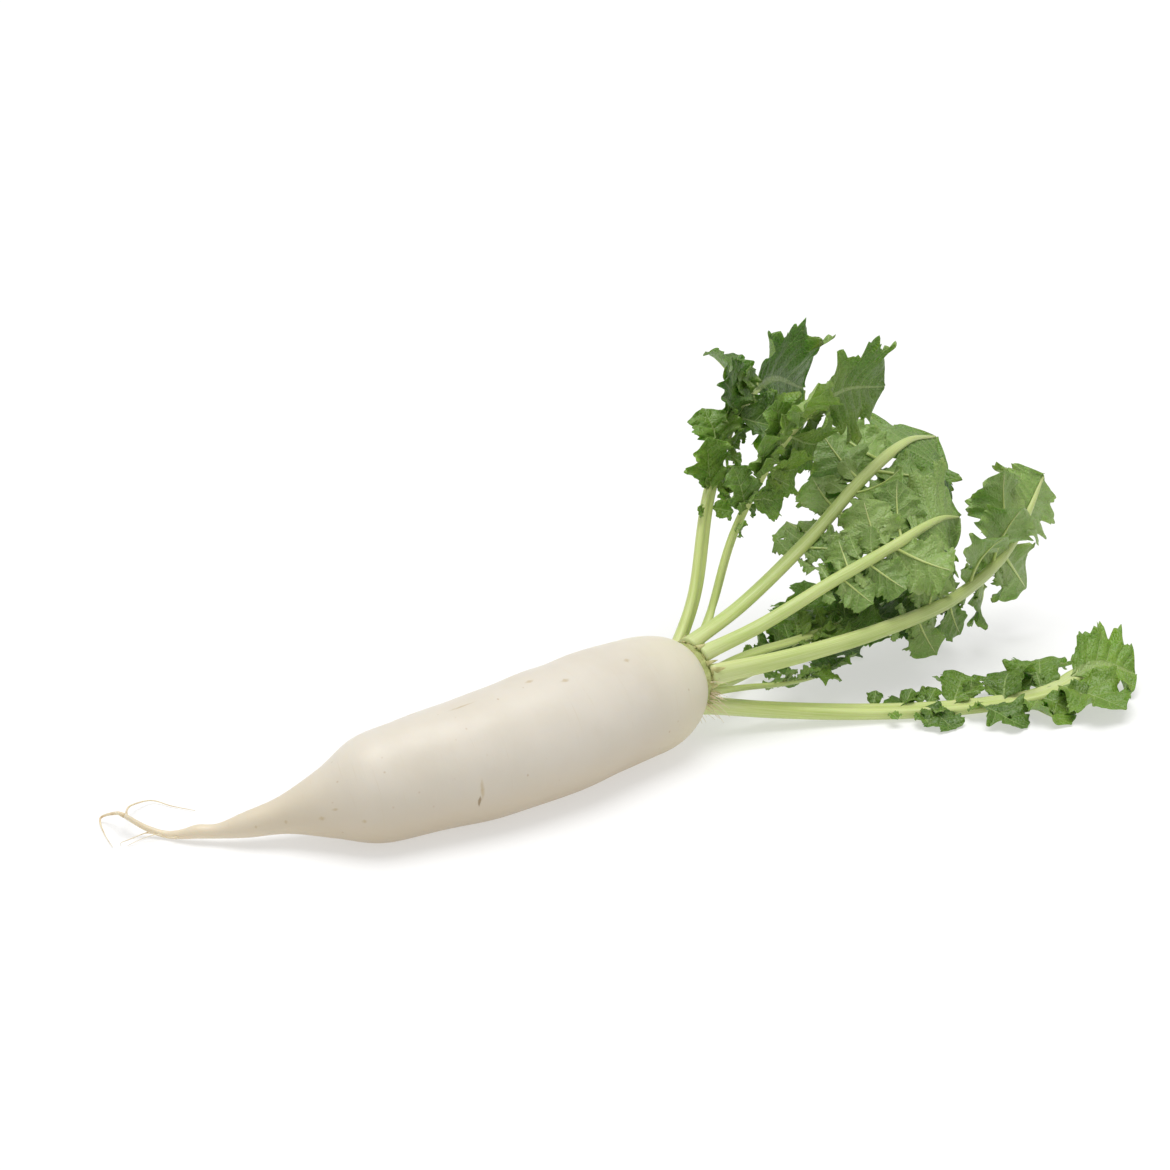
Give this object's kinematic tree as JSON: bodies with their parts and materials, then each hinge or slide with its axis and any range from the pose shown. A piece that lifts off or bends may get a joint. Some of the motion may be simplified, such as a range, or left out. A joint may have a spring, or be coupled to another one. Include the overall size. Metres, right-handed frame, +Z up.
{
  "type": "daikon radish",
  "caption": "Whole daikon radish lying on its side: long white tapering root with a thin tail, a green crown and toothed, lobed leaves on pale green stalks.",
  "frame": {"origin": "middle of the small flat under the root's widest part, on the surface that the radish lies on", "axes": "+X along the root from its tail to its leaves, +Y level and across the root, away from the lowest leaf, +Z up"},
  "size_m": [0.6285, 0.2723, 0.2026],
  "materials": {
    "root_skin": "satin",
    "crown_skin": "satin",
    "leaf_blade": "satin",
    "leaf_stalk": "satin",
    "rootlet": "matte"
  },
  "bodies": {
    "root": {"taproot": "root_skin", "crown": "crown_skin", "leaf_1": "leaf_blade", "leaf_2": "leaf_blade", "leaf_3": "leaf_blade", "leaf_4": "leaf_blade", "leaf_5": "leaf_blade", "leaf_6": "leaf_blade", "leaf_7": "leaf_blade", "leaf_8": "leaf_blade", "leaf_9": "leaf_blade"}
  },
  "joints": []
}
